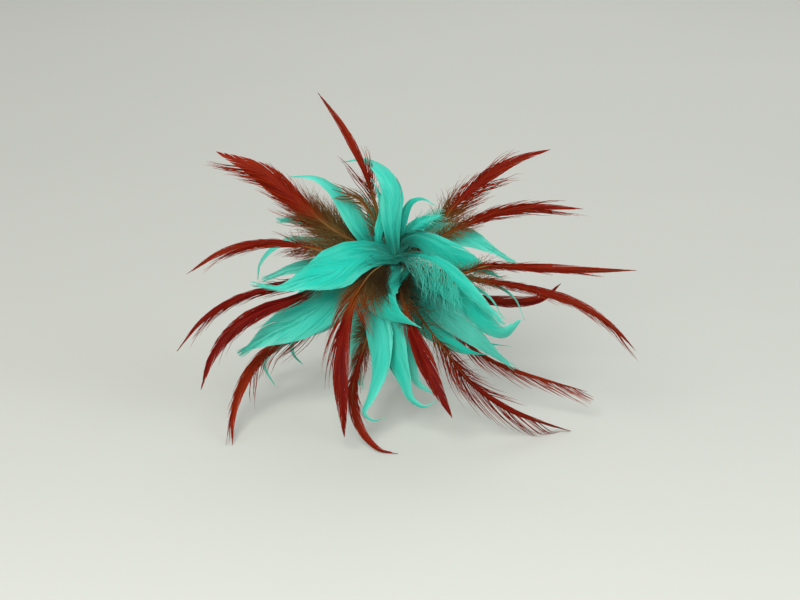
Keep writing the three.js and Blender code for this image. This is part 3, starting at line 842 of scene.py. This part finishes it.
def dress_goose(name, feather):
    """Two webs, a quill behind them, stray barbs at the edges and down at the base."""
    piece = Piece(tint=TINTS.get(name, 0.0), shade=SHADE.get(name, 0.0))
    long = feather.length
    feather.tone = TONES.get(name, 1.0)
    for sign in (-1, 1):
        half = ribbon(feather, sign, *OUTLINES.get(name, USUAL_OUTLINE))
        web(piece, feather, sign, half, -0.4, int(3 + long / 11), **GOOSE_WEB,
            pleats=min(PLEAT_SHARE * feather.wide, PLEAT_LIMIT))
        count = int(long * 0.7)
        root = draw.uniform(-0.05, 0.85, count)
        reach = half(root + 0.25) * draw.uniform(3.0, 4.4, count)
        loose(piece, feather, sign, root, reach, 18, 8, draw.uniform(0.14, 0.3, count),
              lift=-0.12 * reach * draw.random(count), wave=0.2, steps=7)
    quill(piece, feather, min(1.3, feather.wide * 0.12), 0.25, -0.4)
    root = draw.uniform(0.0, 0.16, DOWN_HAIRS)
    loose(piece, feather, draw.choice([-1.0, 1.0], DOWN_HAIRS), root,
          draw.uniform(5, 12, DOWN_HAIRS), draw.uniform(30, 75, DOWN_HAIRS), 20, 0.12,
          lift=draw.uniform(-3, 1, DOWN_HAIRS), wave=1.2, down=draw.random((DOWN_HAIRS, 1)))
    threads(piece, feather, THREADS.get(name, ()), (0.16, 0.34), 0.35)
    return piece.finish(name + "_vane", turquoise, name, "goose_feather")


vanes = [dress_goose(name, feather) for name, feather in goose.items()]
print("triangles in the goose feathers:", sum(map(triangles, vanes)),
      "most in one:", max(map(triangles, vanes)))

# %% [markdown]
# ## Dressing the hackles
#
# A hackle is slender, and its barbs lie close along the quill, so its outline is a blade with a
# frayed edge. The web is narrower than the whole vane and starts well up the quill. A fringe of
# single barbs lies along it, long strands come away where a feather was handled, and the lowest
# third carries fluff. Every hackle wears its barbs in its own way, so a table gives, for each,
# where its web starts, how many hairs of fluff it has, and its groups of loose strands, in rows
# like those of the goose feathers' threads.

# %% Where each hackle has its web, its fluff and its strands
STRANDS = {
    "hackle_top": (0.36, 120, [(-1, 0.27, 0.4, 7, 20, 30, 24, 14, 0.4),
                               (1, 0.33, 0.5, 16, 9, 20, 30, 12, 0.5)]),
    "hackle_top_short": (0.2, 150, [(1, 0.1, 0.8, 22, 8, 18, 22, 8, 0.3),
                                    (-1, 0.1, 0.8, 26, 8, 18, 28, 12, 0.3)]),
    "hackle_upper_left": (0.34, 900, [(-1, 0.22, 0.8, 110, 16, 30, 26, 12, 0.3),
                                      (-1, 0.1, 0.4, 60, 14, 26, 44, 26, 0.5),
                                      (1, 0.2, 0.6, 50, 12, 24, 26, 14, 0.4)]),
    "hackle_left": (0.36, 400, [(-1, 0.36, 0.62, 24, 22, 42, 9, 3, 0.3),
                                (-1, 0.2, 0.4, 30, 9, 20, 36, 18, 0.5),
                                (1, 0.25, 0.5, 10, 10, 20, 14, 4, 0.3)]),
    "hackle_left_short": (0.3, 100, [(-1, 0.3, 0.8, 18, 8, 18, 18, 8, 0.3),
                                     (1, 0.3, 0.8, 12, 8, 18, 18, 8, 0.3)]),
    "hackle_left_lower_1": (0.3, 120, [(-1, 0.3, 0.75, 36, 14, 30, 12, 4, 0.3),
                                       (1, 0.3, 0.6, 10, 12, 22, 8, 3, 0.2)]),
    "hackle_left_lower_2": (0.28, 120, [(1, 0.35, 0.8, 20, 16, 30, 9, 3, 0.2),
                                        (-1, 0.25, 0.7, 24, 14, 28, 16, 7, 0.3)]),
    "hackle_left_lower_3": (0.3, 120, [(1, 0.35, 0.85, 36, 14, 28, 11, 4, 0.2),
                                       (-1, 0.3, 0.66, 24, 18, 32, 26, 14, 0.3)]),
    "hackle_front_left": (0.2, 420, [(1, 0.16, 0.5, 30, 20, 38, 26, 8, 0.1),
                                     (-1, 0.1, 0.34, 30, 14, 26, 42, 30, 0.2),
                                     (-1, 0.4, 0.8, 10, 10, 18, 8, 3, 0.1)]),
    "hackle_front_middle": (0.38, 300, [(1, 0.3, 0.62, 24, 10, 20, 26, 8, 0.3),
                                        (-1, 0.3, 0.62, 24, 10, 22, 24, 6, 0.3)]),
    "hackle_front_right": (0.26, 260, [(1, 0.3, 0.66, 26, 14, 28, 12, 4, 0.2),
                                       (1, 0.16, 0.36, 14, 12, 20, 24, 14, 0.2),
                                       (-1, 0.3, 0.5, 8, 10, 18, 10, 3, 0.2)]),
    "hackle_right_lower_1": (0.42, 150, [(1, 0.32, 0.84, 40, 22, 36, 22, 14, 0.1),
                                         (1, 0.3, 0.5, 20, 14, 26, 30, 18, 0.2),
                                         (-1, 0.34, 0.6, 20, 12, 26, 20, 10, 0.2)]),
    "hackle_right_lower_2": (0.34, 100, [(1, 0.34, 0.96, 50, 12, 26, 22, 13, 0.1),
                                         (-1, 0.35, 0.6, 7, 10, 18, 8, 3, 0.1)]),
    "hackle_right_short": (0.3, 200, both(0.3, 0.7, 8, 8, 16, 12, 4, 0.2)),
    "hackle_right": (0.34, 200, [(1, 0.3, 0.72, 30, 12, 24, 12, 5, 0.3),
                                 (-1, 0.3, 0.6, 14, 10, 20, 14, 5, 0.3)]),
    "hackle_right_drooping": (0.34, 200, [(1, 0.3, 0.9, 48, 12, 24, 15, 7, 0.3),
                                          (-1, 0.3, 0.6, 14, 10, 20, 12, 4, 0.3)]),
    "hackle_upper_right_1": (0.32, 350, [(-1, 0.2, 0.62, 30, 14, 28, 22, 7, 0.4),
                                         (1, 0.16, 0.55, 54, 14, 30, 30, 14, 0.7)]),
    "hackle_upper_right_2": (0.3, 350, [(-1, 0.22, 0.66, 30, 14, 32, 14, 4, 0.3),
                                        (1, 0.3, 0.75, 36, 16, 34, 13, 5, 0.4)]),
}
print("strands on the hackles:", sum(row[3] for _, _, rows in STRANDS.values() for row in rows))

# %% [markdown]
# ## What sets one hackle apart from the next
#
# A row of the first table gives where a blade begins to narrow, the shares of the full width on its
# left and right, and how bright its red is. A few hackles differ in more: dense fuzz on one side,
# olive barbs all the way, a quill that comes into sight only further up, a thinner downy web, fluff
# that stands forward, or fluff kept dark as painted shade because it lies deep in the burst.

# %% Blades, fuzz and other differences
USUAL_BLADE = (0.38, 0.76, 0.76, 0.4)
BLADES = {
    "hackle_upper_left": (0.12, 1.05, 1.0, 0.55), "hackle_right_short": (0.5, 0.85, 0.85, 0.2),
    "hackle_top": (0.3, 0.85, 0.85, 0.4), "hackle_top_short": (0.3, 0.2, 0.18, 0.5),
    "hackle_front_right": (0.34, 1.2, 1.15, 0.05), "hackle_front_left": (0.56, 1.15, 1.0, 0.12),
    "hackle_right_lower_1": (0.2, 0.42, 0.4, 0.2), "hackle_right_lower_2": (0.25, 0.4, 0.4, 0.7),
    "hackle_left_lower_1": (0.38, 0.62, 0.75, 0.2), "hackle_left_lower_2": (0.44, 0.9, 1, 0),
    "hackle_left_lower_3": (0.38, 0.75, 0.7, 0.8),
}
FUZZ = {"hackle_front_left": [(-1, -0.06, 0.2, 320, 12, 25, 80, 44, 1.8)],
        "hackle_front_middle": [(1, 0.24, 0.36, 90, 8, 13, 75, 60, 0.5)],
        "hackle_upper_left": [(1, 0.02, 0.3, 120, 9, 20, 60, 30, 1.2)]}
OLIVE = {"hackle_top_short": 0.75}
HIDDEN_QUILL = {"hackle_right_lower_1": 0.5, "hackle_front_right": 0.36}
THIN_DOWN = {"hackle_right_lower_1": 0.1, "hackle_front_right": 0.1, "hackle_top_short": 0.15,
             "hackle_upper_left": 0.26}
FORWARD = {"hackle_front_middle": 0.8}
# painted shade: the fluff of these hackles is kept dark where it lies deep in the burst
FLUFF_PAINTED_SHADE = {"hackle_right_lower_1": 0.3, "hackle_front_right": 0.3}
print("own blades:", len(BLADES), "and fuzz on", ", ".join(FUZZ))


# %% Hackles
HACKLE_WEB = dict(sweep=0.55, gape=0.5, thickness=0.25, ragged=0.04, fringe=0.05, columns=6,
                  stagger=0.3)
DOWN_WEB = dict(sweep=0.35, gape=0.9, thickness=0.2, ragged=0.6, fringe=0.2, columns=5, rows=7,
                stagger=1.5, down=0.9)
QUILL_BASE, QUILL_TIP = 0.55, 0.14


def blade(feather, start, belly, share):
    """Half the width of a hackle's web: a smooth step takes it to full width soon after the
    start, it keeps that as far as the belly, which is a share of the way from the start to the
    tip, and from there it falls as a cosine to the power 0.85."""
    def half(s):
        s = np.clip(s, 0, 1)
        middle = start + (1 - start) * belly
        rise = smooth(s, start - 0.06, start + (1 - start) * min(belly, 0.3))
        fall = np.cos(math.pi / 2 * np.clip((s - middle) / (1 - middle), 0, 1)) ** 0.85
        return feather.wide / 2 * share * np.minimum(0.18 + 0.82 * rise, 1) * fall
    return half


def downy(feather, start, share):
    """Half the width of the downy part of the web: a smooth step up from the base, times one
    down where the firm web begins."""
    def half(s):
        grown = smooth(s, -0.1, 0.12) * (1 - smooth(s, start - 0.08, start + 0.1))
        return feather.down / 2 * share * grown
    return half


def fluff(piece, feather, count, high, forward, bright):
    """Soft down round the base: fine waving hairs that stand off the quill on every side, and
    nearly as many stiffer ones that are combed towards the tip. Their chance value is never above
    bright, so a low bright keeps the fluff dark as painted shade."""
    for wide, end, wave, share in (((40, 95), (10, 60), 1.6, 0.55), ((22, 44), (8, 24), 0.4, 0.45)):
        hairs = int(count * share)
        root = draw.uniform(0.0, high, hairs)
        length = draw.uniform(0.7, 1.3, hairs) * (feather.down * 0.42 + 3.5) * (1.9 - wave / 2)
        loose(piece, feather, draw.choice([-1.0, 1.0], hairs), root, length,
              draw.uniform(*wide, hairs), draw.uniform(*end, hairs),
              draw.uniform(0.16, 0.34, hairs), lift=draw.uniform(-0.4, forward, hairs) * length,
              wave=wave, down=1 - smooth(root, high * 0.6, high)[:, None] * 0.7, steps=6,
              chance=bright * draw.random((hairs, 1)))


def dress_hackle(name, feather):
    """A narrow web, a fringe, long strands, fluff at the base and the quill in front."""
    belly, left, right, tint = BLADES.get(name, USUAL_BLADE)
    piece = Piece(tint=tint, shade=SHADE.get(name, 0.0))
    long = feather.length
    start, hairs, groups = STRANDS[name]
    feather.tone, olive = TONES.get(name, 1.0), OLIVE.get(name, 0.0)
    for sign, share in ((-1, left), (1, right)):
        half = blade(feather, start, belly, share)
        web(piece, feather, sign, half, start - 0.08, int(long / 9), down=olive, **HACKLE_WEB)
        count = int(long * 0.5)
        root = start - 0.1 + (1.0 - start) * draw.random(count) ** 1.3 * 0.8
        reach = half(root + 0.12) * draw.uniform(3.4, 4.6, count) + 2.5
        loose(piece, feather, sign, root, reach, 13 - 5 * root, 5 - 3 * root,
              draw.uniform(0.26, 0.42, count), lift=-0.06 * reach * draw.random(count), steps=6,
              onset=1.6, down=olive)
        base = downy(feather, start, THIN_DOWN.get(name, 0.4))
        web(piece, feather, sign, base, -0.2, 12, **DOWN_WEB)
    threads(piece, feather, groups, (0.34, 0.56), 0.16, down=olive)
    threads(piece, feather, FUZZ.get(name, ()), (0.2, 0.36), 0.4, down=0.9, chance=0.28)
    fluff(piece, feather, hairs, start * 1.2, FORWARD.get(name, 0.4), FLUFF_PAINTED_SHADE.get(name, 1.0))
    quill(piece, feather, QUILL_BASE, QUILL_TIP, 0.2, since=HIDDEN_QUILL.get(name, 0.0))
    return piece.finish(name + "_plume", rust_red, name, "hackle_feather")


plumes = [dress_hackle(name, feather) for name, feather in hackles.items()]
print("triangles in the hackles:", sum(map(triangles, plumes)),
      "most in one:", max(map(triangles, plumes)))

# %% [markdown]
# ## What holds them
#
# The quills are tied round a slim core and wrapped in floral tape, a stretchy waxed paper that is
# wound in a slanting spiral, each turn over the edge of the last. The wire stem is wrapped in the
# same way. Both are tubes round a line whose radius steps down once in each turn, and the step
# slants because it depends on the angle as well as on the distance.


# %% Tape
def tape_finish():
    """Waxed paper: brown, blotched where it is stretched, with fine creases."""
    paint = Paint("floral_tape_wrap")
    where = paint.node("ShaderNodeTexCoord", None, None, output="Object")
    blotch = paint.node("ShaderNodeTexNoise", None, {"Vector": where, "Scale": 260.0,
                                                     "Detail": 3.0})
    crease = paint.node("ShaderNodeTexNoise", None, {"Vector": where, "Scale": 1500.0,
                                                     "Detail": 2.0})
    body = paint.blend(blotch.rise(0.3, 0.7), ink(62, 48, 34), ink(96, 78, 56))
    body = paint.blend(crease.rise(0.5, 0.8) * 0.4, body, ink(130, 112, 86))
    bump = paint.node("ShaderNodeBump", None, {
        "Strength": 0.4, "Distance": 0.0002, "Height": crease + blotch})
    shader = paint.node("ShaderNodeBsdfPrincipled", None, {
        "Base Color": body, "Roughness": 0.6 + crease * 0.2, "Normal": bump})
    return paint.end(shader)


def wound(piece, line, radius, pitch, overlap, sides=28, pieces=160):
    """A tube round a line whose radius grows by overlap across each turn of the tape and then
    drops: the share of a turn is the distance over the pitch plus the angle over a full turn."""
    line, length = quill_line(line, pieces)
    along = unit(np.gradient(line, axis=0))
    side = unit(np.cross(along, [1.0, 0.0, 0.0]))
    up = np.cross(side, along)
    run = np.linspace(0, length, pieces + 1)[:, None]
    angle = np.linspace(0, 2 * math.pi, sides, endpoint=False)[None]
    share = (run / pitch + angle / (2 * math.pi)) % 1
    thick = radius(run / length) + overlap * share * np.minimum(1, (1 - share) * 8)
    ring = (np.cos(angle)[..., None] * side[:, None] - np.sin(angle)[..., None] * up[:, None])
    piece.tubes((line[:, None] + ring * thick[..., None])[None])


tape = tape_finish()
STEM_RADIUS, STEM_PITCH = 1.75, 4.2
STEM_PATH = [(0, 0, CORE_BACK - GAP), (0.5, -1, -21), (2, -8, -32), (4, -30, -44),
             (6, -65.2, -58)]
stem = Piece()
wound(stem, STEM_PATH, lambda t: STEM_RADIUS - 0.15 * (t > 0.995), STEM_PITCH, 0.16)
stem_piece = stem.finish("wire_stem_taped", tape, "wire_stem", "floral_tape")

core = Piece()
CORE_LINE = [(0, 0, CORE_BACK), (0, 0, -3), (0, 0, 8), (0, 0, CORE_FRONT)]
wound(core, CORE_LINE, lambda t: CORE_BACK_RADIUS + (CORE_FRONT_RADIUS - CORE_BACK_RADIUS) * t
      - 0.2, 5.0, 0.2, pieces=90)
core_piece = core.finish("binding_taped", tape, "binding", "floral_tape")
print("tape:", triangles(stem_piece) + triangles(core_piece), "triangles")

# %% [markdown]
# ## Surface, light and camera
#
# The photograph was taken in soft light from the front and above, on a pale surface. One large
# area light at the front left does most of the work, a weaker one fills from the right, a third
# lifts the tips from behind, and the world adds the even glow of a pale room. The camera looks
# down by the same few degrees that the burst leans back. Most tips lie nearer to it than the
# middle of the burst does, so the lens is set for their distance. The middle of the picture lies
# a few pixels to the right of the burst's middle, and some way below it.

# %% Stage
def pale_floor():
    """Warm white, very slightly uneven."""
    paint = Paint("pale_floor")
    where = paint.node("ShaderNodeTexCoord", None, None, output="Object")
    cloud = paint.node("ShaderNodeTexNoise", None, {"Vector": where, "Scale": 3.0})
    body = paint.blend(cloud, ink(203, 207, 201), ink(210, 213, 207))
    return paint.end(paint.node("ShaderNodeBsdfPrincipled", None, {
        "Base Color": body, "Roughness": 0.9, "Specular IOR Level": 0.1}))


FLOOR_REACH = 3.0
ground = bpy.data.meshes.new("floor")
corners = np.array([(-1, -1, 0), (1, -1, 0), (1, 1, 0), (-1, 1, 0)]) * FLOOR_REACH
ground.from_pydata(corners.tolist(), [], [(0, 1, 2, 3)])
ground.materials.append(pale_floor())
floor = bpy.data.objects.new("floor", ground)
bpy.context.collection.objects.link(floor)
print("floor:", 2 * FLOOR_REACH, "m wide")


# %% Light
def soft_light(name, place, aim, size, power, colour):
    """A square area light that faces a point."""
    lamp = bpy.data.lights.new(name, "AREA")
    lamp.size, lamp.energy, lamp.color = size, power, colour
    holder = bpy.data.objects.new(name, lamp)
    bpy.context.collection.objects.link(holder)
    holder.location = place
    holder.rotation_euler = (Vector(aim) - Vector(place)).to_track_quat("-Z", "Y").to_euler()
    return holder


middle = Vector(resting([0, 0, 0]).tolist())
lamps = [soft_light("window", (-0.3, -1.15, 0.95), middle, 0.6, 17, (1.0, 0.98, 0.95)),
         soft_light("fill", (1.0, -0.7, 0.7), middle, 0.8, 5.5, (0.95, 0.98, 1.0)),
         soft_light("back", (0.2, 1.0, 0.9), middle, 0.8, 3.5, (1.0, 1.0, 1.0))]
room = bpy.data.worlds.new("room")
room.use_nodes = True
glow = room.node_tree.nodes["Background"].inputs
glow["Color"].default_value = (1.0, 0.98, 0.95, 1.0)
glow["Strength"].default_value = 0.44
bpy.context.scene.world = room
bpy.context.scene.view_settings.view_transform = "Standard"
print("lights:", [lamp.name for lamp in lamps])

# %% Camera
PIXEL = 0.0005
PICTURE_WIDTH, SENSOR = 800, 36.0
AWAY = 1.6
TIPS_NEARER = 0.035
PIXELS_RIGHT, PIXELS_BELOW = 5, 42
up_view = Vector((0, math.sin(LEAN), math.cos(LEAN)))
back_view = Vector((0, -math.cos(LEAN), math.sin(LEAN)))
lens = bpy.data.cameras.new("camera")
lens.sensor_width = SENSOR
lens.lens = SENSOR * (AWAY - TIPS_NEARER) / (PICTURE_WIDTH * PIXEL)
camera = bpy.data.objects.new("camera", lens)
bpy.context.collection.objects.link(camera)
at_centre = PIXEL * AWAY / (AWAY - TIPS_NEARER)
aim = middle + Vector((PIXELS_RIGHT * at_centre, 0, 0)) - up_view * (PIXELS_BELOW * at_centre)
camera.location = aim + back_view * AWAY
camera.rotation_euler = (-back_view).to_track_quat("-Z", "Y").to_euler()
bpy.context.scene.camera = camera
print("lens:", round(lens.lens, 1), "mm, from", AWAY, "m away")
